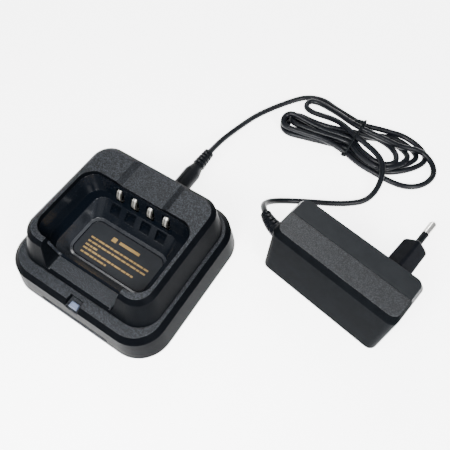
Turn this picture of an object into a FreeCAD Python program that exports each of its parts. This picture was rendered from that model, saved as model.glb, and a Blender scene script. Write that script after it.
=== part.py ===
# Desktop charging cradle for a two-way radio, with its wall power supply and cord.
# Millimetres. The origin is the centre of the cradle's footprint on the desk.
# +X is to the right, +Y to the rear, +Z up.
import FreeCAD, Part
import math
import os

from FreeCAD import Vector

# ---- driving dimensions ----------------------------------------------------
BASE_WIDTH = 97.0
BASE_DEPTH = 92.0
FOOT_GAP = 0.6                # the housing's lower edge stands this far off the desk
WALL = 2.2                    # housing wall
RIM_HEIGHT = 36.3             # top of the cradle
PLINTH_TOP = 18.6
CHAMFER_START = 15.8          # where the plinth's side turns into its chamfer
RIM_CHAMFER_START = 34.2
SILL_HEIGHT = 22.0            # floor of the finger notch at the front
SHELF_HEIGHT = 21.5           # ledge round the tray inside the pocket
TRAY_FLOOR = 12.0
LINER = 1.3                   # wall of the glossy pocket liner
FIT = 0.1                     # gap between mouldings that nest

CONTACT_PITCH = 10.2
CONTACT_COUNT = 4
LEAF_WIDTH = 3.4
LEAF_THICKNESS = 0.55
CONTACT_HINGE = (20.45, 13.6)  # y, z of the line about which each leaf bends

SLOT_X = 1.2
LED_X = 1.0
JACK_X = 1.0
JACK_Z = 8.5
JACK_FACE_Y = 44.6
PLUG_FACE_Y = 44.8
BARREL_RADIUS = 2.75
BARREL_BORE = 1.1
BARREL_LENGTH = 9.5

CORD_DIAMETER = 3.5
ADAPTER_CORNER = (65.6, 41.0)  # near left top corner of the adapter, in plan
ADAPTER_TURN = -9.63           # degrees about Z
ADAPTER_LENGTH = 72.5
ADAPTER_HEIGHT = 35.4
ADAPTER_DEPTH = 25.0
ADAPTER_FLARE = 5.5            # how far the near face leans out at its foot
SEAM = 12.9                    # the two adapter mouldings meet here
SHELL = 2.0
PIN_SPACING = 18.6
PIN_RADIUS = 2.0
PIN_LENGTH = 19.0
SLEEVE_LENGTH = 10.0
SLEEVE_RADIUS = 1.8
PIN_CORE_RADIUS = 1.25          # the pin inside its sleeve and the nose
NOSE_LENGTH = 18.2
NOSE_CENTRE = 57.4             # along the adapter
MID_HEIGHT = 17.8
RELIEF_V = 8.2                 # the cord leaves the end of the adapter's near half


# ---- helpers ---------------------------------------------------------------
def box(x0, x1, y0, y1, z0, z1):
    return Part.makeBox(x1 - x0, y1 - y0, z1 - z0, Vector(x0, y0, z0))


def rod(radius, start, end):
    start, end = Vector(*start), Vector(*end)
    return Part.makeCylinder(radius, (end - start).Length, start, end - start)


def outline(x0, x1, y0, y1, front_radius, rear_radius, z):
    """A rectangle with rounded corners, as a wire at height z."""
    corners = [(x1, y0, front_radius, -90), (x1, y1, rear_radius, 0),
               (x0, y1, rear_radius, 90), (x0, y0, front_radius, 180)]
    middle = Vector((x0 + x1) / 2, (y0 + y1) / 2, z)
    arcs = []
    for x, y, radius, start in corners:
        inward_x = -radius if x > middle.x else radius
        inward_y = -radius if y > middle.y else radius
        centre = Vector(x + inward_x, y + inward_y, z)
        circle = Part.Circle(centre, Vector(0, 0, 1), radius)
        arcs.append(Part.Arc(circle, math.radians(start), math.radians(start + 90)))
    edges = []
    for i, arc in enumerate(arcs):
        following = arcs[(i + 1) % len(arcs)]
        edges.append(arc.toShape())
        edges.append(Part.LineSegment(arc.EndPoint, following.StartPoint).toShape())
    return Part.Wire(edges)


def loft(levels):
    """A solid through levels of (half width, front, rear, corner radius, z)."""
    solids = []
    for lower, upper in zip(levels, levels[1:]):
        wires = [outline(-h, h, front, rear, r, r, z) for h, front, rear, r, z in (lower, upper)]
        solids.append(Part.makeLoft(wires, True, True))
    return fuse(solids)


def grow(level, by):
    """The same level, larger all round."""
    half, front, rear, radius, z = level
    return (half + by, front - by, rear + by, radius + by, z)


def fuse(solids):
    whole = solids[0]
    if len(solids) > 1:
        whole = whole.multiFuse(solids[1:])
    return whole.removeSplitter()


def rounded_polygon(points, radii):
    """A closed wire of straight runs, each corner an arc of its own radius."""
    count = len(points)
    starts, ends, arcs = [], [], []
    for i, (point, radius) in enumerate(zip(points, radii)):
        before = (points[i - 1] - point).normalize()
        after = (points[(i + 1) % count] - point).normalize()
        half = before.getAngle(after) / 2
        reach = radius / math.tan(half)
        middle = point + (before + after).normalize() * (radius / math.sin(half) - radius)
        starts.append(point + before * reach)
        ends.append(point + after * reach)
        arcs.append(Part.Arc(starts[i], middle, ends[i]).toShape())
    edges = []
    for i in range(count):
        edges.append(arcs[i])
        edges.append(Part.LineSegment(ends[i], starts[(i + 1) % count]).toShape())
    return Part.Wire(edges)


def prism(wire, along):
    return Part.Face(wire).extrude(Vector(*along))


def turned(profile, centre, direction):
    """A solid of revolution from (distance along the axis, radius) pairs."""
    points = [Vector(r, 0, s) for s, r in profile]
    points = [Vector(0, 0, profile[0][0])] + points + [Vector(0, 0, profile[-1][0])]
    face = Part.Face(Part.makePolygon(points + [points[0]]))
    solid = face.revolve(Vector(0, 0, 0), Vector(0, 0, 1), 360)
    spin = FreeCAD.Rotation(Vector(0, 0, 1), Vector(*direction))
    solid.Placement = FreeCAD.Placement(Vector(*centre), spin)
    return solid


def write(name, shape):
    shape.exportStep("parts/" + name + ".step")
    print(name, "solids", len(shape.Solids), "volume", round(shape.Volume, 1), shape.isValid())


# ---- cradle levels ---------------------------------------------------------
HALF_WIDTH = BASE_WIDTH / 2
HALF_DEPTH = BASE_DEPTH / 2

PLINTH = [
    (HALF_WIDTH - 0.6, 0.6 - HALF_DEPTH, HALF_DEPTH - 0.6, 17.4, FOOT_GAP),
    (HALF_WIDTH, -HALF_DEPTH, HALF_DEPTH, 18.0, FOOT_GAP + 0.7),
    (HALF_WIDTH - 2.1, 2.1 - HALF_DEPTH, HALF_DEPTH - 2.1, 16.5, CHAMFER_START),
    (HALF_WIDTH - 4.8, 4.8 - HALF_DEPTH, HALF_DEPTH - 4.8, 14.5, PLINTH_TOP),
]
TOWER = [
    (42.4, -36.3, 39.2, 13.0, PLINTH_TOP - 0.8),
    (38.8, -30.4, 37.3, 10.5, RIM_CHAMFER_START),
    (36.4, -28.2, 34.9, 8.4, RIM_HEIGHT),
]
SHADOW_LINE = [(42.6, -36.5, 39.4, 13.2, PLINTH_TOP), (42.6, -36.5, 39.4, 13.2, PLINTH_TOP + 0.9)]
SHADOW_CORE = [(41.3, -35.2, 38.1, 12.0, PLINTH_TOP), (41.3, -35.2, 38.1, 12.0, PLINTH_TOP + 0.9)]
PLINTH_HOLLOW = [
    (HALF_WIDTH - 2.4, 2.4 - HALF_DEPTH, HALF_DEPTH - 2.4, 15.6, FOOT_GAP - 0.1),
    (HALF_WIDTH - 4.3, 4.3 - HALF_DEPTH, HALF_DEPTH - 4.3, 14.2, CHAMFER_START - 0.9),
    (HALF_WIDTH - 6.2, 6.2 - HALF_DEPTH, HALF_DEPTH - 6.2, 12.6, PLINTH_TOP - 2.0),
]
TOWER_HOLLOW = [
    (39.6, -33.2, 36.6, 10.4, PLINTH_TOP - 2.1),
    (36.4, -28.0, 34.9, 8.1, RIM_HEIGHT - 2.7),
]
POCKET_RIM = (34.6, -25.4, 18.9, 8.6, RIM_HEIGHT + 0.1)
POCKET_LIP = (34.3, -25.25, 18.6, 8.5, RIM_HEIGHT - 2.8)
POCKET_FLOOR = (33.0, -24.6, 17.3, 8.0, SHELF_HEIGHT)
TRAY_TOP = (27.2, -24.6, 14.3, 6.0, SHELF_HEIGHT)
TRAY_EDGE = (25.7, -19.8, 6.2, 6.3, TRAY_FLOOR + 0.5)
TRAY_BOTTOM = (24.2, -18.6, 4.6, 5.0, TRAY_FLOOR)
LABEL = (23.7, -18.1, 4.1, 4.6)
BOSSES = [(x, y) for x in (-38.0, 38.0) for y in (-36.0, 36.0)]
FEET = [(x, y) for x in (-31.0, 31.0) for y in (-33.0, 33.0)]
POSTS = [(x, y) for x in (-29.0, 29.0) for y in (-30.0, 25.0)]
BASE_TOP = 2.4
BOARD = (5.2, 6.8)


def finger_notch():
    """The U opening through the front wall, wider at its top."""
    front = -HALF_DEPTH
    low, high = SILL_HEIGHT, RIM_HEIGHT + 0.5
    points = [Vector(-20.8, front, low), Vector(21.4, front, low),
              Vector(24.3, front, high), Vector(-23.9, front, high)]
    return prism(rounded_polygon(points, [2.4, 2.4, 0.2, 0.2]), (0, 24.0, 0))


def sill_chamfer():
    """Bevel along the sill's front edge."""
    points = [Vector(-24, -33.9, SILL_HEIGHT), Vector(-24, -36.4, SILL_HEIGHT), Vector(-24, -36.4, 20.3)]
    return prism(Part.makePolygon(points + [points[0]]), (48, 0, 0))


def rear_channel():
    """Shallow sunk band across the top of the rear wall."""
    floor, top = RIM_HEIGHT - 1.2, RIM_HEIGHT + 0.2
    points = [Vector(-12.8, 15, floor), Vector(12.8, 15, floor),
              Vector(17.0, 15, top), Vector(-17.0, 15, top)]
    return prism(Part.makePolygon(points + [points[0]]), (0, 26, 0))


def front_slot(grow_by, y_rear):
    """Long narrow groove low on the front wall, with round ends."""
    half, radius, z = 21.9 + grow_by, 1.5 + grow_by, 5.5
    points = [Vector(SLOT_X + side * half, -HALF_DEPTH - 1, z + up * radius)
              for side, up in ((-1, -1), (1, -1), (1, 1), (-1, 1))]
    return prism(rounded_polygon(points, [radius * 0.98] * 4), (0, y_rear + HALF_DEPTH + 1, 0))


def leaf_slots():
    slots = [box(x - 2.5, x + 2.5, 16.0, 22.0, 19.0, 30.2) for x in contact_places()]
    return fuse(slots)


def contact_places():
    first = -CONTACT_PITCH * (CONTACT_COUNT - 1) / 2
    return [first + CONTACT_PITCH * i for i in range(CONTACT_COUNT)]


# ---- cradle parts ----------------------------------------------------------
def upper_housing():
    skin = fuse([loft(PLINTH), loft(TOWER)])
    skin = skin.cut(fuse([loft(PLINTH_HOLLOW), loft(TOWER_HOLLOW)]))
    outer = fuse([loft(PLINTH), loft(TOWER)])
    notch_frame = box(-27, 27, -40, -25, SILL_HEIGHT - 2.4, RIM_HEIGHT - 2.6)
    led_tub = box(LED_X - 5.6, LED_X + 5.6, -46, -35.9, 13.2, 17.4)
    slot_back = front_slot(1.6, -41.6)
    skin = fuse([skin] + [block.common(outer) for block in (notch_frame, led_tub, slot_back)])
    bosses = [rod(3.0, (x, y, BASE_TOP + 0.1), (x, y, PLINTH_TOP - 1.2)) for x, y in BOSSES]
    skin = fuse([skin] + bosses)
    pilot_holes = [rod(1.3, (x, y, BASE_TOP), (x, y, 13.0)) for x, y in BOSSES]
    liner_space = fuse([loft([grow(POCKET_FLOOR[:4] + (SHELF_HEIGHT - 2.6,), LINER + FIT),
                              grow(POCKET_LIP, LINER + FIT)])])
    rim_opening = loft([POCKET_LIP, POCKET_RIM])
    shadow_line = loft(SHADOW_LINE).cut(loft(SHADOW_CORE))
    led_notch = fuse([box(LED_X - 3.8, LED_X + 4.6, -50, -37.9, 15.2, 20),
                      box(LED_X - 3.2, LED_X + 3.9, -50, -43.0, 13.9, 16)])
    light_hole = box(LED_X - 1.9, LED_X + 3.1, -43.1, -39.9, 12, 16)
    jack_hole = rod(4.3, (JACK_X, 38, JACK_Z), (JACK_X, 46, JACK_Z))
    plug_recess = rod(4.6, (JACK_X, 44.35, JACK_Z), (JACK_X, 48, JACK_Z))
    cuts = [liner_space, rim_opening, shadow_line, finger_notch(), sill_chamfer(), rear_channel(),
            led_notch, light_hole, front_slot(0, -43.4), jack_hole, plug_recess]
    for cut in cuts + pilot_holes:
        skin = skin.cut(cut)
    return skin


def pocket_liner():
    pocket = loft([POCKET_FLOOR, POCKET_LIP])
    tray = loft([TRAY_BOTTOM, TRAY_EDGE, TRAY_TOP])
    below = POCKET_FLOOR[:4] + (SHELF_HEIGHT - 2.5 + LINER,)
    shell = loft([grow(below, LINER)[:4] + (SHELF_HEIGHT - LINER,), grow(POCKET_LIP, LINER)])
    under_tray = loft([grow(TRAY_EDGE, 0.9)[:4] + (TRAY_FLOOR - LINER - 0.5,), grow(TRAY_EDGE, 0.9),
                       grow(TRAY_TOP, 0.9)])
    window_backing = box(-25, 25, 8.0, 15.4, 14.4, SHELF_HEIGHT - 0.4)
    solid = fuse([shell, under_tray, window_backing])
    solid = solid.cut(pocket).cut(tray)
    windows = [box(x - 3.1, x + 3.1, 9.4, 13.7, 15.8, 22) for x in contact_places()]
    half, front, rear, radius = LABEL
    label_seat = loft([(half + 0.2, front - 0.2, rear + 0.2, radius, TRAY_FLOOR - 0.5),
                       (half + 0.2, front - 0.2, rear + 0.2, radius, TRAY_FLOOR + 0.1)])
    for cut in windows + [label_seat, leaf_slots(), finger_notch()]:
        solid = solid.cut(cut)
    return solid


def instruction_label():
    half, front, rear, radius = LABEL
    return loft([(half, front, rear, radius, TRAY_FLOOR - 0.5), (half, front, rear, radius, TRAY_FLOOR - 0.1)])


def base_plate():
    lower = (HALF_WIDTH - 2.7, 2.7 - HALF_DEPTH, HALF_DEPTH - 2.7, 15.3, FOOT_GAP)
    plate = loft([lower, lower[:4] + (BASE_TOP,)])
    posts = [rod(2.6, (x, y, BASE_TOP - 0.2), (x, y, BOARD[0])) for x, y in POSTS]
    plate = fuse([plate] + posts)
    for x, y in BOSSES:
        plate = plate.cut(rod(1.5, (x, y, 0), (x, y, 3)))
        plate = plate.cut(rod(2.8, (x, y, 0), (x, y, 1.5)))
    for x, y in FEET:
        plate = plate.cut(rod(5.1, (x, y, 0), (x, y, 1.4)))
    return plate


def rubber_feet():
    foot = [(0, 4.4), (0.5, 5.0), (1.35, 5.0)]
    return Part.makeCompound([turned(foot, (x, y, 0), (0, 0, 1)) for x, y in FEET])


def base_screws():
    screw = [(0.7, 2.5), (1.5, 2.5), (1.5, 1.2), (11.5, 1.2), (12.6, 0.3)]
    return Part.makeCompound([turned(screw, (x, y, 0), (0, 0, 1)) for x, y in BOSSES])


def board_screws():
    screw = [(BOARD[1] + 1.4, 1.9), (BOARD[1], 1.9)]
    return Part.makeCompound([turned(screw[::-1], (x, y, 0), (0, 0, 1)) for x, y in POSTS])


def circuit_board():
    low, high = BOARD
    board = box(-33.5, 33.5, -40.0, 31.5, low, high)
    board = fuse([board, box(-12, 14, 31, 38, low, high)])
    return board.cut(box(JACK_X - 4.7, JACK_X + 4.7, 29.8, 40, low - 1, high + 1))


def contact_leaf(x):
    """Bent nickel strip: up from its root, out through the slot, and back at its tip."""
    hinge_y, hinge_z = CONTACT_HINGE
    front = [(hinge_y - LEAF_THICKNESS / 2, hinge_z), (hinge_y - LEAF_THICKNESS / 2, 17.6), (17.0, 20.6),
             (16.2, 22.7), (16.3, 24.8), (17.7, 27.9), (19.2, 28.8)]
    back = [(y + LEAF_THICKNESS, z) for y, z in reversed(front)]
    points = [Vector(x - LEAF_WIDTH / 2, y, z) for y, z in front + back]
    leaf = prism(Part.makePolygon(points + [points[0]]), (LEAF_WIDTH, 0, 0))
    rounding = rod(LEAF_WIDTH / 2, (x, 14, 27.2), (x, 24, 27.2))
    below = box(x - 2, x + 2, 14, 24, 13, 27.2)
    return leaf.common(fuse([rounding, below]))


def contact_block():
    """Moulded carrier that holds the four leaf roots upright behind the pocket."""
    half = CONTACT_PITCH * 2 - 0.4
    block = box(-half, half, 18.6, 22.6, BOARD[1], 13.4)
    for x in contact_places():
        block = block.cut(box(x - 1.8, x + 1.8, 20.1, 20.8, 6, 14))
    return block


def contact_roots():
    """Solder tails that carry each leaf's current down to the board."""
    return Part.makeCompound([box(x - 1.7, x + 1.7, 20.2, 20.7, BOARD[1], 13.3) for x in contact_places()])


def dc_jack():
    body = box(JACK_X - 4.5, JACK_X + 4.5, 30.0, 41.2, JACK_Z - 4.6, JACK_Z + 4.8)
    nose = rod(4.2, (JACK_X, 41, JACK_Z), (JACK_X, JACK_FACE_Y - 0.3, JACK_Z))
    bore = rod(BARREL_RADIUS + 0.05, (JACK_X, 34.0, JACK_Z), (JACK_X, 46, JACK_Z))
    pin_seat = rod(0.95, (JACK_X, 31, JACK_Z), (JACK_X, 35, JACK_Z))
    return fuse([body, nose]).cut(bore).cut(pin_seat)


def dc_jack_pin():
    return turned([(31.0, 0.95), (34.0, 0.95), (34.0, 1.0), (42.6, 1.0), (43.1, 0.5)],
                  (JACK_X, 0, JACK_Z), (0, 1, 0))


def light_pipe():
    head = box(LED_X - 1.8, LED_X + 3.0, -43.0, -40.0, 12.4, 16.6)
    leg = box(LED_X - 1.5, LED_X + 1.5, -41.5, -37.2, 8.4, 13.1)
    head = head.makeFillet(0.5, [e for e in head.Edges if e.BoundBox.ZMin > 16.5])
    return fuse([head, leg])


def status_led():
    return box(LED_X - 1.6, LED_X + 1.6, -39.4, -37.6, BOARD[1], BOARD[1] + 1.2)


def charge_controller():
    return box(-10, -3, -6, 1, BOARD[1], BOARD[1] + 1.5)


def power_inductor():
    coil = box(8, 15, -8, -1, BOARD[1], BOARD[1] + 3.2)
    return coil.makeFillet(1.4, [e for e in coil.Edges if e.BoundBox.ZLength > 3])


def smoothing_capacitors():
    return Part.makeCompound([rod(3.1, (x, 27, BOARD[1]), (x, 27, BOARD[1] + 7.4)) for x in (-22, 16)])


# ---- plug on the cord's cradle end -----------------------------------------
RELIEF_START = 66.2
RELIEF_END = 78.6
RELIEF_RIBS = 5


def along_plug(profile):
    return turned(profile, (JACK_X, 0, JACK_Z), (0, 1, 0))


def dc_plug_body():
    body = along_plug([(PLUG_FACE_Y, 3.7), (PLUG_FACE_Y + 0.4, 4.1), (46.2, 4.1), (46.4, 4.7), (47.0, 5.0),
                       (60.4, 5.0), (61.6, 4.7), (65.4, 3.6), (RELIEF_START, 3.2)])
    return body.cut(rod(2.2, (JACK_X, 44, JACK_Z), (JACK_X, 50, JACK_Z)))


def dc_plug_barrel():
    tip = PLUG_FACE_Y - BARREL_LENGTH
    outside = fuse([rod(BARREL_RADIUS, (JACK_X, tip, JACK_Z), (JACK_X, PLUG_FACE_Y, JACK_Z)),
                    rod(2.2, (JACK_X, PLUG_FACE_Y - 0.5, JACK_Z), (JACK_X, 50, JACK_Z))])
    return outside.cut(rod(1.7, (JACK_X, tip - 1, JACK_Z), (JACK_X, 49, JACK_Z)))


def dc_plug_insulator():
    tip = PLUG_FACE_Y - BARREL_LENGTH - 0.2
    sleeve = rod(1.7, (JACK_X, tip, JACK_Z), (JACK_X, 49, JACK_Z))
    return sleeve.cut(rod(BARREL_BORE, (JACK_X, tip - 1, JACK_Z), (JACK_X, PLUG_FACE_Y, JACK_Z)))


def dc_plug_relief():
    """Ribbed sleeve where the cord leaves the plug."""
    profile = [(RELIEF_START, 3.2)]
    pitch = (RELIEF_END - RELIEF_START) / RELIEF_RIBS
    for i in range(RELIEF_RIBS):
        y = RELIEF_START + i * pitch
        radius = 3.9 - 0.16 * i
        core = 2.6 - 0.08 * i
        profile += [(y + 0.9, core), (y + 0.95, radius), (y + pitch - 0.2, radius - 0.1), (y + pitch, core)]
    profile[-1] = (RELIEF_END, 2.2)
    return along_plug(profile)


# ---- cord ------------------------------------------------------------------
PLUG_LEAD = [
    (1.0, 78.6, 8.5), (1.1, 89.0, 7.4), (1.6, 100.5, 4.4), (3.2, 112.5, 2.1), (6.4, 124.3, 1.8),
    (11.6, 135.4, 1.8), (18.8, 146.0, 1.8), (28.0, 155.0, 2.0), (38.4, 158.6, 3.6), (48.5, 157.0, 5.6),
]
ADAPTER_LEAD = [
    (92.0, 130.0, 8.6), (97.4, 122.0, 6.8), (98.4, 112.5, 3.4), (95.6, 103.8, 1.8), (88.6, 97.0, 1.8),
    (79.8, 91.0, 1.8), (71.0, 86.4, 1.8), (63.2, 81.9, 2.0), (56.4, 76.8, 3.6), (51.2, 71.2, 6.6),
    (48.8, 65.4, 10.4), (49.5, 60.4, 14.0),
]


def tube(name, route):
    """A round cord along straight runs joined by tangent arcs."""
    points = [Vector(*p) for p in route]
    edges, radii, run_start = [], [], points[0]
    for before, point, after in zip(points, points[1:], points[2:]):
        back, ahead = before - point, after - point
        half = back.getAngle(ahead) / 2
        reach = 0.45 * min(back.Length, ahead.Length)
        radii.append(round(reach * math.tan(half), 1))
        start = point + back.normalize() * reach
        end = point + ahead.normalize() * reach
        bisector = (back + ahead).normalize()
        radius = reach * math.tan(half)
        middle = point + bisector * (radius / math.sin(half) - radius)
        edges.append(Part.LineSegment(run_start, start).toShape())
        edges.append(Part.Arc(start, middle, end).toShape())
        run_start = end
    edges.append(Part.LineSegment(run_start, points[-1]).toShape())
    path = Part.Wire(edges)
    section = Part.Wire(Part.Circle(points[0], points[1] - points[0], CORD_DIAMETER / 2).toShape())
    solid = path.makePipeShell([section], True, False)
    ideal = math.pi * CORD_DIAMETER ** 2 / 4 * path.Length
    print(name, "arc radii", radii, "length", round(path.Length, 1), "volume/ideal", round(solid.Volume / ideal, 4))
    return solid


HANK_HEIGHT = 8.4
HANK_OUTLINE = [
    (22.6, 121.0, 5.0), (44.0, 122.0, 30.0), (69.5, 130.0, 12.0), (80.0, 121.5, 14.0), (113.0, 120.5, 13.0),
    (126.5, 139.0, 12.0), (114.0, 159.0, 12.0), (96.0, 163.0, 14.0), (70.0, 156.0, 16.0),
    (50.0, 158.0, 20.0), (31.0, 154.0, 5.0), (34.0, 143.0, 2.0), (22.6, 141.5, 4.0),
]
TIE_X = 69.6
TIE_Y = (129.4, 156.8)
TIE_TOP = 10.4


def hank_tie():
    """Wire tie round the bundle, with its twisted ends at the rear."""
    low, high = TIE_Y
    outer = [Vector(TIE_X - 1.7, low - 0.8, 0), Vector(TIE_X - 1.7, high + 0.8, 0),
             Vector(TIE_X - 1.7, high + 0.8, TIE_TOP - 1), Vector(TIE_X - 1.7, (low + high) / 2, TIE_TOP + 2),
             Vector(TIE_X - 1.7, low - 0.8, TIE_TOP - 3)]
    inner = [Vector(TIE_X - 1.7, low, 0.7), Vector(TIE_X - 1.7, high, 0.7),
             Vector(TIE_X - 1.7, high, TIE_TOP - 1.5), Vector(TIE_X - 1.7, (low + high) / 2, TIE_TOP + 1.2),
             Vector(TIE_X - 1.7, low, TIE_TOP - 3.5)]
    band = prism(rounded_polygon(outer, [1.5, 1.5, 3, 12, 3]), (3.4, 0, 0))
    band = band.cut(prism(rounded_polygon(inner, [1, 1, 2.4, 11, 2.4]), (3.4, 0, 0)))
    ends = rod(1.3, (TIE_X - 3.5, high - 2.5, TIE_TOP + 0.4), (TIE_X + 3.5, high - 1.0, TIE_TOP + 0.9))
    return fuse([band, ends])


def cord_hank(tie):
    """Outer shape of the folded and tied length of cord."""
    points = [Vector(x, y, 0) for x, y, _ in HANK_OUTLINE]
    radii = [radius for _, _, radius in HANK_OUTLINE]
    return prism(rounded_polygon(points, radii), (0, 0, HANK_HEIGHT)).cut(tie)


# ---- wall adapter, built level with the axes and then turned into place -----
def place(shape):
    shape = shape.copy()
    shape.rotate(Vector(0, 0, 0), Vector(0, 0, 1), ADAPTER_TURN)
    shape.translate(Vector(ADAPTER_CORNER[0], ADAPTER_CORNER[1], 0))
    return shape


def adapter_levels(inset):
    length, depth, flare = ADAPTER_LENGTH, ADAPTER_DEPTH, ADAPTER_FLARE
    far = max(3.6 - inset, 1.0)
    near = max(4.2 - inset, 0.4)
    top = ADAPTER_HEIGHT - inset
    rows = [(1.2, length - 1.2, 1.3 - flare, depth - 0.8, inset),
            (0.0, length, -flare, depth, 1.3 + inset * 0.5),
            (0.0, length, -2.6, depth, ADAPTER_HEIGHT - 2.8 - inset * 0.5),
            (1.5, length - 1.5, 0.0, depth - 0.6, top)]
    return [outline(u0 + inset, u1 - inset, v0 + inset, v1 - inset, near, far, w) for u0, u1, v0, v1, w in rows]


def stack(wires):
    return fuse([Part.makeLoft([lower, upper], True, True) for lower, upper in zip(wires, wires[1:])])


def adapter_shell():
    shell = stack(adapter_levels(0)).cut(stack(adapter_levels(SHELL)))
    cord_hole = rod(3.4, (-1, RELIEF_V, MID_HEIGHT), (5, RELIEF_V, MID_HEIGHT))
    shell = shell.cut(cord_hole)
    for sign in (-1, 1):
        w = MID_HEIGHT + sign * PIN_SPACING / 2
        shell = shell.cut(rod(2.4, (NOSE_CENTRE, 20, w), (NOSE_CENTRE, 30, w)))
    return shell


def adapter_case(shell):
    return place(shell.common(box(-5, 80, -10, SEAM - 0.1, -1, 40)))


def adapter_cover(shell):
    return place(shell.common(box(-5, 80, SEAM + 0.1, 40, -1, 40)))


def plug_nose():
    """Hexagonal block that enters the wall socket, long side upright."""
    half_width, half_height, shoulder = 6.85, 17.5, 11.4
    start, end = ADAPTER_DEPTH, ADAPTER_DEPTH + NOSE_LENGTH
    wires = []
    for v, shrink in ((start, 0.0), (end - 1.0, 0.4), (end, 1.2)):
        corners = [(-half_width + shrink, -shoulder), (0, -half_height + shrink), (half_width - shrink, -shoulder),
                   (half_width - shrink, shoulder), (0, half_height - shrink), (-half_width + shrink, shoulder)]
        points = [Vector(NOSE_CENTRE + u, v, MID_HEIGHT + w) for u, w in corners]
        wires.append(rounded_polygon(points, [2.0, 1.4, 2.0, 2.0, 1.4, 2.0]))
    nose = stack(wires)
    for sign in (-1, 1):
        w = MID_HEIGHT + sign * PIN_SPACING / 2
        nose = nose.cut(rod(PIN_CORE_RADIUS + 0.05, (NOSE_CENTRE, 20, w), (NOSE_CENTRE, 50, w)))
        nose = nose.cut(rod(SLEEVE_RADIUS + 0.05, (NOSE_CENTRE, end - 2, w), (NOSE_CENTRE, 50, w)))
    return place(nose)


def pin_parts(profile):
    solids = []
    for sign in (-1, 1):
        w = MID_HEIGHT + sign * PIN_SPACING / 2
        solids.append(place(turned(profile, (NOSE_CENTRE, 0, w), (0, 1, 0))))
    return Part.makeCompound(solids)


NOSE_FACE = ADAPTER_DEPTH + NOSE_LENGTH
PIN_TIP = NOSE_FACE + PIN_LENGTH


def mains_pins():
    shoulder = NOSE_FACE + SLEEVE_LENGTH
    return pin_parts([(18.0, PIN_CORE_RADIUS), (shoulder, PIN_CORE_RADIUS), (shoulder, PIN_RADIUS),
                      (PIN_TIP - 1.6, PIN_RADIUS), (PIN_TIP - 0.5, 1.5), (PIN_TIP, 0.6)])


def pin_sleeves():
    shoulder = NOSE_FACE + SLEEVE_LENGTH
    sleeves = []
    for sign in (-1, 1):
        w = MID_HEIGHT + sign * PIN_SPACING / 2
        sleeve = rod(SLEEVE_RADIUS, (NOSE_CENTRE, NOSE_FACE - 1.9, w), (NOSE_CENTRE, shoulder, w))
        bore = rod(PIN_CORE_RADIUS + 0.05, (NOSE_CENTRE, 30, w), (NOSE_CENTRE, 70, w))
        sleeves.append(place(sleeve.cut(bore)))
    return Part.makeCompound(sleeves)


def adapter_board():
    return place(box(3.0, 69.4, 1.6, 3.2, 3.4, 31.6))


def adapter_transformer():
    core = box(27, 44, 3.2, 17.5, 8, 27)
    return place(core.makeChamfer(1.2, [e for e in core.Edges if e.BoundBox.ZLength > 15]))


def adapter_capacitors():
    bulk = rod(5.0, (49.5, 9.0, 8.0), (49.5, 9.0, 27.0))
    output = rod(4.0, (17.0, 8.0, 5.5), (17.0, 8.0, 17.0))
    return Part.makeCompound([place(bulk), place(output)])


def adapter_heat_sink():
    return place(fuse([box(22.5, 23.7, 3.2, 18, 6, 28), box(20, 23.7, 17, 18, 6, 28)]))


def pin_springs():
    """Strips that press on the inner ends of the two mains pins."""
    strips = []
    for sign in (-1, 1):
        w = MID_HEIGHT + sign * PIN_SPACING / 2
        strips.append(place(box(NOSE_CENTRE - 2, NOSE_CENTRE + 2, 3.2, 17.9, w - 0.4, w + 0.4)))
    return Part.makeCompound(strips)


BOOT_LENGTH = 15.4
BOOT_BEND = math.radians(35)    # how far the boot turns from the adapter's end towards the rear
BOOT_RIBS = 6


def boot_station(distance):
    """Centre and heading of the adapter's boot, distance along it, in the adapter's own axes."""
    radius = BOOT_LENGTH / BOOT_BEND
    angle = max(distance, 0.0) / radius
    ahead = radius * math.sin(angle) + min(distance, 0.0)
    aside = radius * (1 - math.cos(angle))
    centre = Vector(-ahead, RELIEF_V + aside, MID_HEIGHT - 0.22 * aside)
    heading = Vector(-math.cos(angle), math.sin(angle), -0.22 * math.sin(angle)).normalize()
    return centre, heading


def boot_ring(distance, radius):
    centre, heading = boot_station(distance)
    return Part.Wire(Part.Circle(centre, heading, radius).toShape())


def adapter_relief():
    """Ribbed boot that turns the cord towards the rear, with its neck and flange inside the case."""
    rings = [(-3.5, 4.6), (-2.15, 4.6), (-2.1, 3.3), (0.05, 3.3), (0.1, 4.8)]
    pitch = BOOT_LENGTH / BOOT_RIBS
    for i in range(BOOT_RIBS):
        start = i * pitch
        outer = 4.8 - 2.0 * start / BOOT_LENGTH
        core = outer - 1.3
        rings += [(start + 0.62 * pitch, outer - 0.15), (start + 0.66 * pitch, core),
                  (start + 0.96 * pitch, core), (start + pitch, outer - 0.35)]
    rings[-1] = (BOOT_LENGTH, rings[-2][1])
    return place(stack([boot_ring(distance, radius) for distance, radius in rings]))


def relief_tip():
    tip = place(Part.Vertex(boot_station(BOOT_LENGTH)[0]))
    return (tip.Point.x, tip.Point.y, tip.Point.z)


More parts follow.
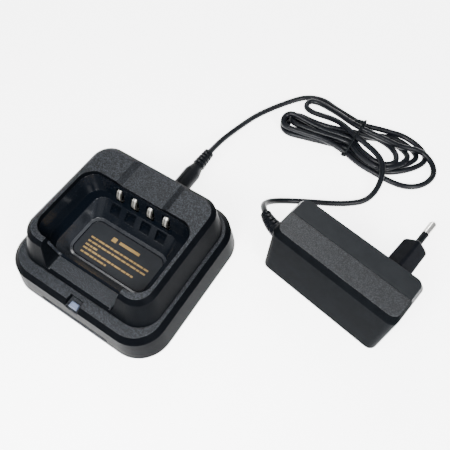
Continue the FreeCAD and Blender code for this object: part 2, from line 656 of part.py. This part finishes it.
# ---- build -----------------------------------------------------------------
def main():
    os.makedirs("parts", exist_ok=True)
    write("upper_housing", upper_housing())
    write("pocket_liner", pocket_liner())
    write("instruction_label", instruction_label())
    write("base_plate", base_plate())
    write("rubber_feet", rubber_feet())
    write("base_screws", base_screws())
    write("board_screws", board_screws())
    write("circuit_board", circuit_board())
    for number, x in enumerate(contact_places(), 1):
        write("contact_leaf_%d" % number, contact_leaf(x))
    write("contact_block", contact_block())
    write("contact_roots", contact_roots())
    write("dc_jack", dc_jack())
    write("dc_jack_pin", dc_jack_pin())
    write("light_pipe", light_pipe())
    write("status_led", status_led())
    write("charge_controller", charge_controller())
    write("power_inductor", power_inductor())
    write("smoothing_capacitors", smoothing_capacitors())
    write("dc_plug_body", dc_plug_body())
    write("dc_plug_barrel", dc_plug_barrel())
    write("dc_plug_insulator", dc_plug_insulator())
    write("dc_plug_relief", dc_plug_relief())
    write("cord_plug_lead", tube("cord_plug_lead", PLUG_LEAD))
    write("cord_adapter_lead", tube("cord_adapter_lead", ADAPTER_LEAD + [relief_tip()]))
    tie = hank_tie()
    write("hank_tie", tie)
    write("cord_hank", cord_hank(tie))
    shell = adapter_shell()
    write("adapter_case", adapter_case(shell))
    write("adapter_cover", adapter_cover(shell))
    write("plug_nose", plug_nose())
    write("mains_pins", mains_pins())
    write("pin_sleeves", pin_sleeves())
    write("pin_springs", pin_springs())
    write("adapter_board", adapter_board())
    write("adapter_transformer", adapter_transformer())
    write("adapter_capacitors", adapter_capacitors())
    write("adapter_heat_sink", adapter_heat_sink())
    write("adapter_relief", adapter_relief())


main()
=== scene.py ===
import math

import bmesh
import bpy
from mathutils import Matrix, Vector


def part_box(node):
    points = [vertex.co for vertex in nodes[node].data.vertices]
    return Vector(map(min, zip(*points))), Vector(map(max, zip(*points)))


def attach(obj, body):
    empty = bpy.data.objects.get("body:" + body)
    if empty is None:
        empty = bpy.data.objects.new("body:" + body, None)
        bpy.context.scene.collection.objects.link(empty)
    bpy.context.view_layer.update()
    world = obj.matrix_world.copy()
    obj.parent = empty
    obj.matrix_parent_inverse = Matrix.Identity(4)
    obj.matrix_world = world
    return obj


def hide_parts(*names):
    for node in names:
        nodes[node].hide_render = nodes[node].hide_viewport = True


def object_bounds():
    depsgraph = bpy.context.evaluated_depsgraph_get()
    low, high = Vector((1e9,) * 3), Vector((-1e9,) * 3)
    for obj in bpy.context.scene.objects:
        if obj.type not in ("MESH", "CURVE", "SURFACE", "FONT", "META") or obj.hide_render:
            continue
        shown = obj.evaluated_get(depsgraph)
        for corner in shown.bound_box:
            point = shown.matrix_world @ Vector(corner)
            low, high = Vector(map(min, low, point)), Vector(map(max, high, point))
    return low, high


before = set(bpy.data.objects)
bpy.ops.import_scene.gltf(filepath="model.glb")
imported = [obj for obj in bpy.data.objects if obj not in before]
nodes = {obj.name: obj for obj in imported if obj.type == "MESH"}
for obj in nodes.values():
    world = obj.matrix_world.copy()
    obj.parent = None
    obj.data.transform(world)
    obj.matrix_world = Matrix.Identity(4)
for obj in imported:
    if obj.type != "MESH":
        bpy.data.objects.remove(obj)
cad_low, cad_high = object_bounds()
MM = 0.001


def point(x, y, z):
    return Vector((x * MM, y * MM, z * MM))


# ---- camera ------------------------------------------------------------------
HEADING = math.radians(32.565)    # the view turns this far from straight behind the front
LOOK_DOWN = math.radians(60.586)
ROLL = math.radians(-0.499)
EYE = point(107.77, -69.92, 242.41)
LENS = 38.34
SENSOR_WIDTH = 36
NEAREST_SEEN = 0.01               # in metres


def make_camera():
    camera = bpy.data.objects.new("camera", bpy.data.cameras.new("camera"))
    bpy.context.scene.collection.objects.link(camera)
    right = Vector((math.cos(HEADING), math.sin(HEADING), 0))
    ahead = Vector((-math.sin(HEADING) * math.cos(LOOK_DOWN), math.cos(HEADING) * math.cos(LOOK_DOWN),
                    -math.sin(LOOK_DOWN)))
    up = right.cross(ahead)
    turned_right = right * math.cos(ROLL) - up * math.sin(ROLL)
    turned_up = right * math.sin(ROLL) + up * math.cos(ROLL)
    turned = Matrix((turned_right, turned_up, -ahead)).transposed()
    camera.matrix_world = Matrix.Translation(EYE) @ turned.to_4x4()
    camera.data.lens = LENS
    camera.data.sensor_width = SENSOR_WIDTH
    camera.data.clip_start = NEAREST_SEEN
    bpy.context.scene.camera = camera


make_camera()

# ---- cord --------------------------------------------------------------------
CORD_DIAMETER = 3.5
TIE_X = 70.0
LOW, MIDDLE, HIGH = 1.8, 5.2, 8.6   # centre heights of the hank's three layers

# From the plug to the hank, and from the hank to the adapter's boot.
PLUG_LEAD = [
    (1.0, 78.6, 8.5), (1.1, 89.0, 7.4), (1.6, 100.5, 4.4), (3.2, 112.5, 2.1), (6.4, 124.3, 1.8),
    (11.6, 135.4, 1.8), (18.4, 147.0, 1.8), (26.6, 158.0, 2.2), (38.4, 160.6, 3.8), (48.5, 156.6, 5.2),
    (59.5, 154.4, 5.8),
]
ADAPTER_LEAD = [
    (92.4, 130.6, 8.6), (96.9, 122.6, 6.8), (98.2, 112.5, 3.4), (95.6, 103.6, 1.8), (88.4, 96.8, 1.8),
    (79.8, 91.2, 1.8), (71.0, 86.6, 1.8), (63.2, 82.1, 2.0), (56.4, 76.9, 3.6), (51.2, 71.2, 6.6),
    (48.8, 65.4, 10.4), (49.5, 60.4, 14.0),
]
BOOT_TIP = (53.5, 56.0, 16.8)       # end of the adapter's ribbed boot, where the cord leaves it
# The short loop that stands off the bundle, and the strand that leaves over the tie.
LAST_LOOP = [
    (61.5, 148.9, 8.0), (53.5, 151.6, 7.2), (45.0, 154.0, 5.8), (39.4, 154.9, 5.3), (35.6, 154.6, 5.2),
    (32.8, 153.7, 5.2), (31.2, 151.5, 5.2), (31.2, 148.7, 5.2), (32.8, 146.5, 5.2), (35.6, 145.6, 5.2),
    (39.4, 145.4, 5.3), (43.8, 145.8, 5.6), (51.0, 145.9, 6.8), (58.0, 144.3, 8.4),
    (65.0, 141.4, 9.0), (72.0, 138.9, 9.0), (79.0, 137.2, 8.6), (85.8, 134.8, 8.6),
]
# Loops to the right of the tie: farthest x, y there, highest point, lowest point, (y, z) under the tie
# going out and coming back, heights at those three, and how full the lower side is.
LOOPS = {
    "first": (114.4, 150.6, (95.0, 161.2), (92.5, 127.6), (152.8, 5.6), (134.0, LOW), (3.2, LOW, LOW), 1.35),
    "second": (109.0, 149.7, (91.0, 157.6), (91.0, 131.2), (148.6, LOW), (137.6, LOW), (LOW, LOW, LOW), 1.3),
    "third": (104.4, 144.6, (87.0, 153.2), (91.0, 127.2), (144.8, LOW), (135.6, MIDDLE),
              (LOW, MIDDLE - 1, MIDDLE), 1.2),
    "fourth": (99.2, 138.0, (82.0, 149.6), (89.0, 130.8), (145.6, MIDDLE), (139.4, MIDDLE),
               (MIDDLE - 1.4, MIDDLE, MIDDLE), 1.0),
    "largest": (122.8, 142.0, (108.0, 153.6), (104.5, 124.6), (147.2, HIGH), (130.0, LOW),
                (5.6, LOW, LOW), 1.0),
}
OUTWARD_SHARES = (0.36, 0.72)       # points on a loop's upper side, as shares of the way from tie to top
INWARD_SHARES = (0.66, 0.32)        # points on its lower side, as shares of the way from tie to lowest point
UPPER_ARCH = 0.85                   # how early the upper side climbs
LOWER_ARCH = 0.5                    # how early the lower side drops
TIP_BULGE = 1.02
LARGEST_SAG = (-1.6, -3.2)          # its upper side hangs down here between the tie and its top
LARGEST_LOWER_ARCH = 0.35
LANES = (127.9, 131.4, 134.9, 138.4)  # y of the strands side by side, left of the tie
# Folds at the left end: x of the nose, y going in and coming out, lane in, lane out, height, and how
# high it rises on its way in to pass over another.
FOLDS = {
    "first": (24.4, 124.0, 138.8, 0, 3, LOW, 0.0),
    "second": (27.6, 127.7, 135.3, 1, 2, LOW, 0.0),
    "third": (29.0, 130.4, 138.2, 1, 3, MIDDLE + 0.1, 0.0),
    "fourth": (24.8, 134.4, 125.2, 2, 0, MIDDLE + 0.1, 3.2),
}
LANE_X = (42.0, 51.5, 60.5)         # three places along a lane, from near the nose to near the tie
LANE_DRIFT = (0.35, 1.2, 2.4)       # share of the way to the nose's y there, then y past the lane's own
NEAR_TIE = (0.62, 0.6)              # shares of the way from the tie's y and z at the last of them
NARROWEST_FOLD = 3.4
NOSE_BULGE = 1.05


def mix(a, b, share):
    return a + (b - a) * share


def right_loop(name):
    """From the tie out along the upper side, round the end, and back along the lower side."""
    reach, tip_y, (top_x, top_y), (low_x, low_y), out, back, heights, fullness = LOOPS[name]
    top_z, tip_z, low_z = heights
    sags, lower_arch = (0, 0), LOWER_ARCH
    if name == "largest":
        sags, lower_arch = LARGEST_SAG, LARGEST_LOWER_ARCH
    points = [(TIE_X, *out)]
    for share, sag in zip(OUTWARD_SHARES, sags):
        points.append((mix(TIE_X, top_x, share), mix(out[0], top_y, share ** UPPER_ARCH) + sag,
                       mix(out[1], top_z, share)))
    for step in range(4):
        turn = math.radians(90 - 30 * step)
        points.append((top_x + (reach - top_x) * math.cos(turn) * TIP_BULGE,
                       tip_y + (top_y - tip_y) * math.sin(turn), mix(top_z, tip_z, step / 3)))
    for step in range(1, 4):
        turn = math.radians(30 * step)
        points.append((low_x + (reach - low_x) * abs(math.cos(turn)) ** fullness,
                       tip_y - (tip_y - low_y) * math.sin(turn) ** fullness,
                       mix(tip_z, low_z, step / 3)))
    for share in INWARD_SHARES:
        points.append((mix(TIE_X, low_x, share), mix(back[0], low_y, share ** lower_arch),
                       mix(back[1], low_z, share)))
    return points + [(TIE_X, *back)]


def left_fold(name, come_in, go_out):
    """From the tie along one lane of the bundle, round a narrow nose, and back along another lane."""
    nose_x, in_y, out_y, lane_in, lane_out, height, hump = FOLDS[name]
    half = (out_y - in_y) / 2
    width = max(abs(half), NARROWEST_FOLD)
    centre_x = nose_x + width
    centre_y = (in_y + out_y) / 2

    def lane(number, end_y, at_tie):
        y, z = at_tie
        own_y = LANES[number]
        return [(LANE_X[0], mix(own_y, end_y, LANE_DRIFT[0]), height),
                (LANE_X[1], own_y + LANE_DRIFT[1], height),
                (LANE_X[2], mix(y, own_y + LANE_DRIFT[2], NEAR_TIE[0]), mix(z, height, NEAR_TIE[1]))]

    points = lane(lane_in, in_y, come_in)[::-1]
    points[-1] = (*points[-1][:2], height + hump * 0.5)
    for step in range(5):
        turn = math.pi * step / 4
        points.append((centre_x - width * math.sin(turn) * NOSE_BULGE,
                       centre_y - half * math.cos(turn) * NOSE_BULGE,
                       height + hump * math.cos(turn / 2) ** 2))
    return points + lane(lane_out, out_y, go_out)


def cord_route():
    """From the plug through the whole hank to the adapter's boot, in millimetres."""
    route = list(PLUG_LEAD)
    order = ["first", "second", "third", "fourth"]
    for name, following in zip(order, order[1:] + ["largest"]):
        route += right_loop(name)
        going_out, coming_back = LOOPS[following][4:6]
        arrives = coming_back if following == "largest" else going_out
        route += left_fold(name, LOOPS[name][5], arrives)
    return route + right_loop("largest")[::-1] + LAST_LOOP + ADAPTER_LEAD + [BOOT_TIP]


def nurbs(name, routes, radius, closed=()):
    """One round-section piece along these routes; closed names, by number, those that run full circle."""
    curve = bpy.data.curves.new(name, "CURVE")
    curve.dimensions = "3D"
    curve.bevel_depth = radius
    curve.bevel_resolution = 6
    curve.use_fill_caps = True
    for number, route in enumerate(routes):
        spline = curve.splines.new("NURBS")
        spline.points.add(len(route) - 1)
        for control, place in zip(spline.points, route):
            control.co = (*place, 1)
        spline.order_u = 3
        spline.use_cyclic_u = number in closed
        spline.use_endpoint_u = number not in closed
        spline.resolution_u = 8
    piece = bpy.data.objects.new(name, curve)
    bpy.context.scene.collection.objects.link(piece)
    return piece


def make_cord():
    route = [point(*place) for place in cord_route()]
    return nurbs("supply_cord", [route], CORD_DIAMETER / 2 * MM), route


cord, route = make_cord()

# ---- print on the label --------------------------------------------------------
# Plain dashes in place of lettering: start and end along x, y, and height of each row.
PRINT_ROWS = [
    (-8.6, -5.6, -1.0, 2.6), (-3.6, 9.8, -0.9, 1.7), (-19.2, 19.7, -5.9, 1.0), (-19.2, 19.8, -8.4, 1.0),
    (-19.1, -11.1, -10.8, 1.0), (-19.0, 14.6, -12.9, 1.0), (-18.6, -1.4, -15.4, 1.0),
]
DASHES = (1.9, 3.3, 2.6, 1.5, 4.1, 2.9, 2.1, 3.6)
DASH_GAP = 0.5
SOLID_ROWS = 2                      # the first rows are one solid dash each
PRINT_THICKNESS = 0.03


def make_print():
    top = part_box("instruction_label")[1].z
    shape = bmesh.new()
    turn = 0
    for row, (start, end, y, height) in enumerate(PRINT_ROWS):
        x = start
        while x < end - DASH_GAP:
            dash = end - start if row < SOLID_ROWS else min(DASHES[turn % len(DASHES)], end - x)
            turn += 1
            size = Vector((dash * MM, height * MM, PRINT_THICKNESS * MM))
            middle = point(x + dash / 2, y, 0) + Vector((0, 0, top + PRINT_THICKNESS * MM / 2))
            placed = Matrix.Translation(middle) @ Matrix.Diagonal((*size, 1))
            bmesh.ops.create_cube(shape, size=1, matrix=placed)
            x += dash + DASH_GAP
    mesh = bpy.data.meshes.new("label_print")
    shape.to_mesh(mesh)
    piece = bpy.data.objects.new("label_print", mesh)
    bpy.context.scene.collection.objects.link(piece)
    return piece


# ---- tie round the bundle --------------------------------------------------------
TIE_BAND = [
    (70.4, 126.6, 5.0), (70.6, 131.0, 8.6), (70.8, 138.0, 11.2), (70.9, 146.0, 11.6), (70.7, 152.4, 10.4),
    (70.3, 157.2, 6.0), (70.0, 156.6, 1.4), (69.9, 150.0, 0.85), (69.9, 134.0, 0.85), (70.1, 128.0, 1.4),
]
TIE_RADIUS = 0.75
# Its twisted ends lie back over the bundle: start, end, and turns of the two strands.
TIE_ENDS = [
    ((71.4, 150.4, 11.3), (64.9, 148.4, 11.6), 2),
    ((71.4, 150.4, 11.3), (71.8, 147.0, 11.6), 1),
    ((70.8, 125.6, 4.8), (68.8, 126.0, 3.6), 1),
]
TWIST_SPREAD = 0.6
STEPS_PER_TURN = 4


def twisted(start, end, turns):
    """Two strands wound round each other, as route points for each."""
    start, end = Vector(start), Vector(end)
    along = (end - start).normalized()
    aside = along.cross(Vector((0, 0, 1))).normalized()
    over = aside.cross(along)
    strands = []
    for phase in (0, math.pi):
        strand = []
        for step in range(STEPS_PER_TURN * turns + 1):
            turn = phase + step * math.tau / STEPS_PER_TURN
            centre = start + (end - start) * step / (STEPS_PER_TURN * turns)
            strand.append(centre + (aside * math.cos(turn) + over * math.sin(turn)) * TWIST_SPREAD)
        strands.append(strand)
    return strands


def make_tie():
    routes = [TIE_BAND]
    for start, end, turns in TIE_ENDS:
        routes += twisted(start, end, turns)
    in_metres = [[point(*place) for place in route] for route in routes]
    return nurbs("cord_tie", in_metres, TIE_RADIUS * MM, closed=(0,))


# ---- materials ---------------------------------------------------------------
MIX_SHARE, MIX_FIRST, MIX_SECOND = 0, 6, 7    # the mix node's sockets for colours, by number
MIX_RESULT = 2
FLAT_FACES = (0.9, 0.985)                     # upward part of the normal, from chamfers to flat faces; slight ramps in between get part of the walls' painted shade


class Recipe:
    """A material under way: its node tree, its principled surface, and short ways to add nodes."""

    def __init__(self, name):
        self.made = bpy.data.materials.new(name)
        self.made.use_nodes = True
        self.tree = self.made.node_tree
        self.surface = self.tree.nodes["Principled BSDF"]
        self.place = self.add("ShaderNodeTexCoord")

    def add(self, kind, **inputs):
        node = self.tree.nodes.new(kind)
        for key, value in inputs.items():
            self.join(value, node.inputs[key.replace("_", " ").strip()])
        return node

    def join(self, value, socket):
        if isinstance(value, bpy.types.NodeSocket):
            self.tree.links.new(value, socket)
        else:
            socket.default_value = value

    def noise(self, size, detail=2.0, roughness=0.5):
        """Noise with features of this size, in millimetres, around 0.5."""
        return self.add("ShaderNodeTexNoise", Vector=self.place.outputs["Object"], Scale=1 / (size * MM),
                        Detail=detail, Roughness=roughness).outputs["Fac"]

    def ramp(self, value, low, high, start, end):
        """Spreads value from low..high onto start..end."""
        return self.add("ShaderNodeMapRange", Value=value, From_Min=low, From_Max=high, To_Min=start,
                        To_Max=end).outputs["Result"]

    def times(self, a, b):
        node = self.tree.nodes.new("ShaderNodeMath")
        node.operation = "MULTIPLY"
        self.join(a, node.inputs[0])
        self.join(b, node.inputs[1])
        return node.outputs["Value"]

    def blend(self, share, first, second):
        node = self.tree.nodes.new("ShaderNodeMix")
        node.data_type = "RGBA"
        self.join(share, node.inputs[MIX_SHARE])
        self.join(first, node.inputs[MIX_FIRST])
        self.join(second, node.inputs[MIX_SECOND])
        return node.outputs[MIX_RESULT]

    def colours(self, share, dark, light):
        return self.blend(share, (*dark, 1), (*light, 1))

    def normal(self):
        """The direction that the face points, as separate X, Y and Z."""
        return self.add("ShaderNodeSeparateXYZ", Vector=self.place.outputs["Normal"]).outputs

    def upward(self):
        """1 on faces that look straight up, 0 on the chamfers and walls, and between on slight ramps."""
        return self.ramp(self.normal()["Z"], *FLAT_FACES, 0.0, 1.0)

    def bump(self, height, strength, depth, round_edges):
        """Grain this deep, in millimetres, on edges that are rounded by round_edges."""
        rounded = self.add("ShaderNodeBevel", Radius=round_edges * MM)
        node = self.add("ShaderNodeBump", Height=height, Distance=depth * MM, Strength=strength,
                        Normal=rounded.outputs["Normal"])
        self.join(node.outputs["Normal"], self.surface.inputs["Normal"])


def tinted(colour, by):
    return tuple(min(channel * by, 1.0) for channel in colour)


NOISE_MIDDLE = (0.3, 0.7)         # most of a noise's values lie in here
MOTTLING = 0.12
GLOSS_DOWN, GLOSS_UP = 0.04, 0.05  # how far the roughness wanders from its middle
COAT_ROUGHNESS = 0.08


def moulded(name, colour, roughness, grain=0.3, grain_size=0.45, coat=0.0, metallic=0.0, shine=0.2):
    """A moulded or plated surface: fine grain, slow mottling and uneven gloss."""
    recipe = Recipe(name)
    surface = recipe.surface
    surface.inputs["Metallic"].default_value = metallic
    surface.inputs["Specular IOR Level"].default_value = shine
    surface.inputs["Coat Weight"].default_value = coat
    surface.inputs["Coat Roughness"].default_value = COAT_ROUGHNESS
    clouds = recipe.ramp(recipe.noise(7.0, detail=4), *NOISE_MIDDLE, 0, 1)
    mottled = recipe.colours(clouds, tinted(colour, 1 - MOTTLING), tinted(colour, 1 + MOTTLING))
    recipe.join(mottled, surface.inputs["Base Color"])
    uneven = recipe.ramp(recipe.noise(2.2, detail=3), *NOISE_MIDDLE, roughness - GLOSS_DOWN,
                         roughness + GLOSS_UP)
    recipe.join(uneven, surface.inputs["Roughness"])
    recipe.bump(recipe.noise(grain_size), grain, depth=0.08, round_edges=0.3)
    return recipe.made


SPECKLE = (0.46, 0.64)            # noise values from a pit to a peak
SPECKLE_SHADE_AND_GLINTS = (0.45, 3.2)       # how much darker and lighter than the face those are: painted shade in the pits, painted glints on the peaks
WALL_TINTS = (0.85, 1.15)
UNEVEN_GLOSS = (0.92, 1.1)
WALL_GRAIN = 0.1                  # of the grain on the flat faces


def spark(name, flat, side, flat_roughness, side_roughness, grain=0.9, flat_shine=0.26, side_shine=0.008):
    """Spark-eroded grain on the faces that look up, satin on the chamfers and walls, which get a darker
    colour as painted shade.
    """
    recipe = Recipe(name)
    surface = recipe.surface
    upward = recipe.upward()
    recipe.join(recipe.ramp(upward, 0, 1, side_shine, flat_shine), surface.inputs["Specular IOR Level"])
    fine = recipe.noise(0.5, detail=1.0, roughness=0.6)
    coarse = recipe.noise(1.1, detail=1.0)
    # The speckle is grain, with painted shade in its pits and painted glints on its peaks.
    speckle = recipe.ramp(fine, *SPECKLE, 0.0, 1.0)
    flats = recipe.colours(speckle, *(tinted(flat, by) for by in SPECKLE_SHADE_AND_GLINTS))
    clouds = recipe.ramp(recipe.noise(5.0, detail=4), *NOISE_MIDDLE, 0, 1)
    # The walls and chamfers take the darker side colour: painted shade. Slight ramps take part of it.
    walls = recipe.colours(clouds, *(tinted(side, by) for by in WALL_TINTS))
    recipe.join(recipe.blend(upward, walls, flats), surface.inputs["Base Color"])
    rough = recipe.ramp(upward, 0, 1, side_roughness, flat_roughness)
    uneven = recipe.ramp(coarse, *NOISE_MIDDLE, *UNEVEN_GLOSS)
    recipe.join(recipe.times(rough, uneven), surface.inputs["Roughness"])
    recipe.bump(fine, recipe.ramp(upward, 0, 1, grain * WALL_GRAIN, grain), depth=0.2, round_edges=0.5)
    return recipe.made


LINER_DARK = (0.0014, 0.0024, 0.0042)
# The slopes' lighter colour is painted light, with cloudy variation.
LINER_PAINTED_LIGHT = (0.017, 0.019, 0.023)
OFF_WALLS = (0.1, 0.17)           # upward part of the normal, from the walls to the slopes
ONTO_FLATS = (0.96, 0.99)         # and from the slopes to the flat faces
OFF_REAR_SLOPE = (-0.5, -0.1)     # its Y part, from the slope at the rear to the others
REAR_SLOPE_LIGHT = 0.12                # share of the slopes' painted light that the rear slope keeps, so it stays in painted shade
LINER_ROUGHNESS = (0.17, 0.27)    # off and on the slopes
LINER_SHINE = (0.5, 0.12)         # off and on the flat faces


def liner_gloss():
    """Glossy moulding: near black walls and ledge, and slopes painted a little lighter as painted light,
    least on the rear slope.
    """
    recipe = Recipe("liner_gloss")
    surface = recipe.surface
    axes = recipe.normal()
    # Mask for the painted light on the slopes; the rear slope gets little of it, painted shade.
    slope = recipe.times(recipe.ramp(axes["Z"], *OFF_WALLS, 0.0, 1.0),
                         recipe.ramp(axes["Z"], *ONTO_FLATS, 1.0, 0.0))
    slope = recipe.times(slope, recipe.ramp(axes["Y"], *OFF_REAR_SLOPE, REAR_SLOPE_LIGHT, 1.0))
    cloud = recipe.ramp(recipe.noise(6.0, detail=3), 0.35, 0.65, 0.45, 1.0)
    painted_light_slopes = recipe.colours(recipe.times(slope, cloud), LINER_DARK, LINER_PAINTED_LIGHT)
    recipe.join(painted_light_slopes, surface.inputs["Base Color"])
    recipe.join(recipe.ramp(slope, 0, 1, *LINER_ROUGHNESS), surface.inputs["Roughness"])
    recipe.join(recipe.ramp(axes["Z"], *ONTO_FLATS, *LINER_SHINE), surface.inputs["Specular IOR Level"])
    recipe.bump(recipe.noise(2.5), 0.05, depth=0.08, round_edges=0.3)
    return recipe.made


NICKEL_WARMTH = (1.0, 0.98, 0.9)
# Painted highlights and shade of ridges across a contact leaf: place from one edge to the other, and how
# light it is there.
RIDGE_HIGHLIGHTS_AND_SHADE = ((0.0, 0.06), (0.2, 0.5), (0.36, 0.05), (0.5, 0.7), (0.64, 0.8), (0.8, 0.03), (1.0, 0.06))


def nickel_with_painted_ridges():
    """Plated strip whose ridges are painted on as light and dark lines: painted highlights and painted
    shade.
    """
    recipe = Recipe("contact_nickel")
    surface = recipe.surface
    across = recipe.add("ShaderNodeSeparateXYZ", Vector=recipe.place.outputs["Generated"]).outputs["X"]
    painted_ridges = recipe.tree.nodes.new("ShaderNodeValToRGB")
    recipe.join(across, painted_ridges.inputs["Fac"])
    for place, _ in RIDGE_HIGHLIGHTS_AND_SHADE[1:-1]:
        painted_ridges.color_ramp.elements.new(place)
    for element, (place, shade) in zip(painted_ridges.color_ramp.elements, RIDGE_HIGHLIGHTS_AND_SHADE):
        element.position = place
        element.color = (*(shade * channel for channel in NICKEL_WARMTH), 1)
    # The ridge lines are painted highlight and painted shade in the colour; the leaf itself is flat.
    recipe.join(painted_ridges.outputs["Color"], surface.inputs["Base Color"])
    surface.inputs["Metallic"].default_value = 0.8
    surface.inputs["Roughness"].default_value = 0.3
    recipe.bump(recipe.noise(0.8), 0.15, depth=0.05, round_edges=0.4)
    return recipe.made


# Colours in linear light, then roughness; spark() takes flat faces first, then walls, whose darker colour is
# painted shade.
FINISHES = {
    "housing": spark("housing_spark", (0.0088, 0.0099, 0.0118), (0.0016, 0.002, 0.0027), 0.42, 0.36),
    "liner": liner_gloss(),
    "label": moulded("label_film", (0.011, 0.0123, 0.0145), 0.42, grain=0.25, grain_size=0.6, shine=0.2),
    "print": moulded("label_print", (0.2, 0.132, 0.05), 0.4, grain=0.05),
    "base": moulded("base_satin", (0.004, 0.0046, 0.0055), 0.5, grain=0.6, shine=0.02),
    "rubber": moulded("foot_rubber", (0.008, 0.008, 0.008), 0.8, grain=0.8),
    "steel": moulded("zinc_steel", (0.5, 0.5, 0.51), 0.35, metallic=1.0, shine=0.5),
    "laminate": moulded("board_laminate", (0.01, 0.09, 0.04), 0.35, grain=0.2, shine=0.5),
    "carrier": moulded("carrier_black", (0.006, 0.006, 0.008), 0.45),
    "nickel": moulded("pin_nickel", (0.85, 0.84, 0.8), 0.28, metallic=1.0, grain=0.15, grain_size=0.8,
                      shine=0.5),
    "contact": nickel_with_painted_ridges(),
    "light_pipe": moulded("light_pipe", (0.09, 0.11, 0.17), 0.3, grain=0.2, coat=0.2, shine=0.4),
    "led": moulded("led_resin", (0.8, 0.8, 0.75), 0.2),
    "can": moulded("capacitor_sleeve", (0.02, 0.02, 0.06), 0.3),
    "plug": moulded("plug_satin", (0.005, 0.0057, 0.007), 0.38, grain=0.35, shine=0.08),
    "cord": moulded("cord_pvc", (0.003, 0.0038, 0.0055), 0.3, grain=0.12, grain_size=0.9, shine=0.16),
    "tie": moulded("tie_black", (0.004, 0.005, 0.006), 0.45, shine=0.06),
    "adapter": spark("adapter_grain", (0.0085, 0.0094, 0.0108), (0.003, 0.0036, 0.0044), 0.44, 0.4,
                     grain=0.7, flat_shine=0.5, side_shine=0.005),
    "cover": moulded("adapter_cover", (0.0105, 0.0118, 0.0135), 0.44, grain=0.35, grain_size=0.5,
                     shine=0.16),
    "nose": moulded("nose_satin", (0.0035, 0.004, 0.0055), 0.42, grain=0.25, grain_size=0.4, shine=0.02),
    "heat_sink": moulded("heat_sink", (0.55, 0.55, 0.57), 0.35, metallic=1.0, shine=0.5),
}
NODE_FINISH = {
    "upper_housing": "housing", "pocket_liner": "liner", "instruction_label": "label",
    "base_plate": "base", "rubber_feet": "rubber", "base_screws": "steel", "board_screws": "steel",
    "circuit_board": "laminate", "contact_block": "carrier", "contact_roots": "nickel",
    "contact_leaf_1": "contact", "contact_leaf_2": "contact", "contact_leaf_3": "contact",
    "contact_leaf_4": "contact", "dc_jack": "carrier", "dc_jack_pin": "nickel",
    "light_pipe": "light_pipe", "status_led": "led", "charge_controller": "carrier",
    "power_inductor": "carrier", "smoothing_capacitors": "can", "dc_plug_body": "plug",
    "dc_plug_barrel": "nickel", "dc_plug_insulator": "carrier", "dc_plug_relief": "cord",
    "adapter_case": "adapter", "adapter_cover": "cover", "plug_nose": "nose", "mains_pins": "nickel",
    "pin_sleeves": "tie", "pin_springs": "nickel", "adapter_board": "laminate",
    "adapter_transformer": "carrier", "adapter_capacitors": "can", "adapter_heat_sink": "heat_sink",
    "adapter_relief": "cord",
}


def paint(piece, finish):
    piece.data.materials.clear()
    piece.data.materials.append(FINISHES[finish])


for node, finish in NODE_FINISH.items():
    paint(nodes[node], finish)

# ---- the new pieces, and what they ride on -------------------------------------
tie = make_tie()
label_print = make_print()
paint(tie, "tie")
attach(tie, "power_supply")
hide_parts("hank_tie")
paint(cord, "cord")
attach(cord, "power_supply")
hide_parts("cord_plug_lead", "cord_adapter_lead", "cord_hank")
paint(label_print, "print")
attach(label_print, "cradle")

# ---- floor and light ---------------------------------------------------------
FLOOR_HALF = 3                    # in metres
FLOOR_GLOW = 4.5                  # lifts the paper to a white studio background
HORIZON = (0.3, 0.305, 0.315, 1)
OVERHEAD = (1, 1, 1, 1)
SKY_CLEARS = (0.76, 0.95)         # upward part of the direction, from horizon grey to overhead white
SKY_STRENGTH = 1.1
# Offsets in metres from the middle of the object, disk size in metres, and watts.
LIGHTS = [
    ("key", (0.65, -0.25, 0.5), 0.4, 11),
    ("left", (-0.35, 0.6, 0.6), 0.2, 3),
    ("front", (-0.15, -0.5, 0.45), 0.4, 2),
]
SILL = (0.0, -30.0, 20.0)         # the middle of the cradle's front rim
SILL_LIGHT = ("top", (0.07, -0.13, 0.22), 0.12, 1.8)


def make_floor():
    mesh = bpy.data.meshes.new("floor")
    shape = bmesh.new()
    bmesh.ops.create_grid(shape, x_segments=1, y_segments=1, size=FLOOR_HALF)
    shape.to_mesh(mesh)
    floor = bpy.data.objects.new("floor", mesh)
    bpy.context.scene.collection.objects.link(floor)
    pale = bpy.data.materials.new("floor_paper")
    pale.use_nodes = True
    paper = pale.node_tree.nodes["Principled BSDF"]
    paper.inputs["Base Color"].default_value = (0.93, 0.93, 0.93, 1)
    paper.inputs["Roughness"].default_value = 0.9
    paper.inputs["Emission Color"].default_value = (1, 1, 1, 1)
    paper.inputs["Emission Strength"].default_value = FLOOR_GLOW
    mesh.materials.append(pale)


def area_light(target, name, offset, size, watts):
    data = bpy.data.lights.new(name, "AREA")
    data.shape = "DISK"
    data.size = size
    data.energy = watts
    light = bpy.data.objects.new(name, data)
    bpy.context.scene.collection.objects.link(light)
    light.location = target + Vector(offset)
    light.rotation_euler = (-Vector(offset)).to_track_quat("-Z", "Y").to_euler()


def make_world():
    """White overhead and grey towards the horizon, as in a studio with a soft ceiling."""
    world = bpy.data.worlds.new("studio")
    world.use_nodes = True
    tree = world.node_tree
    place = tree.nodes.new("ShaderNodeTexCoord")
    axes = tree.nodes.new("ShaderNodeSeparateXYZ")
    ramp = tree.nodes.new("ShaderNodeValToRGB")
    for element, position, colour in zip(ramp.color_ramp.elements, SKY_CLEARS, (HORIZON, OVERHEAD)):
        element.position = position
        element.color = colour
    tree.links.new(place.outputs["Generated"], axes.inputs[0])
    tree.links.new(axes.outputs["Z"], ramp.inputs["Fac"])
    tree.links.new(ramp.outputs["Color"], tree.nodes["Background"].inputs["Color"])
    tree.nodes["Background"].inputs["Strength"].default_value = SKY_STRENGTH
    bpy.context.scene.world = world


def make_lights():
    for light in LIGHTS:
        area_light((cad_low + cad_high) / 2, *light)
    area_light(point(*SILL), *SILL_LIGHT)


make_world()
make_floor()
make_lights()
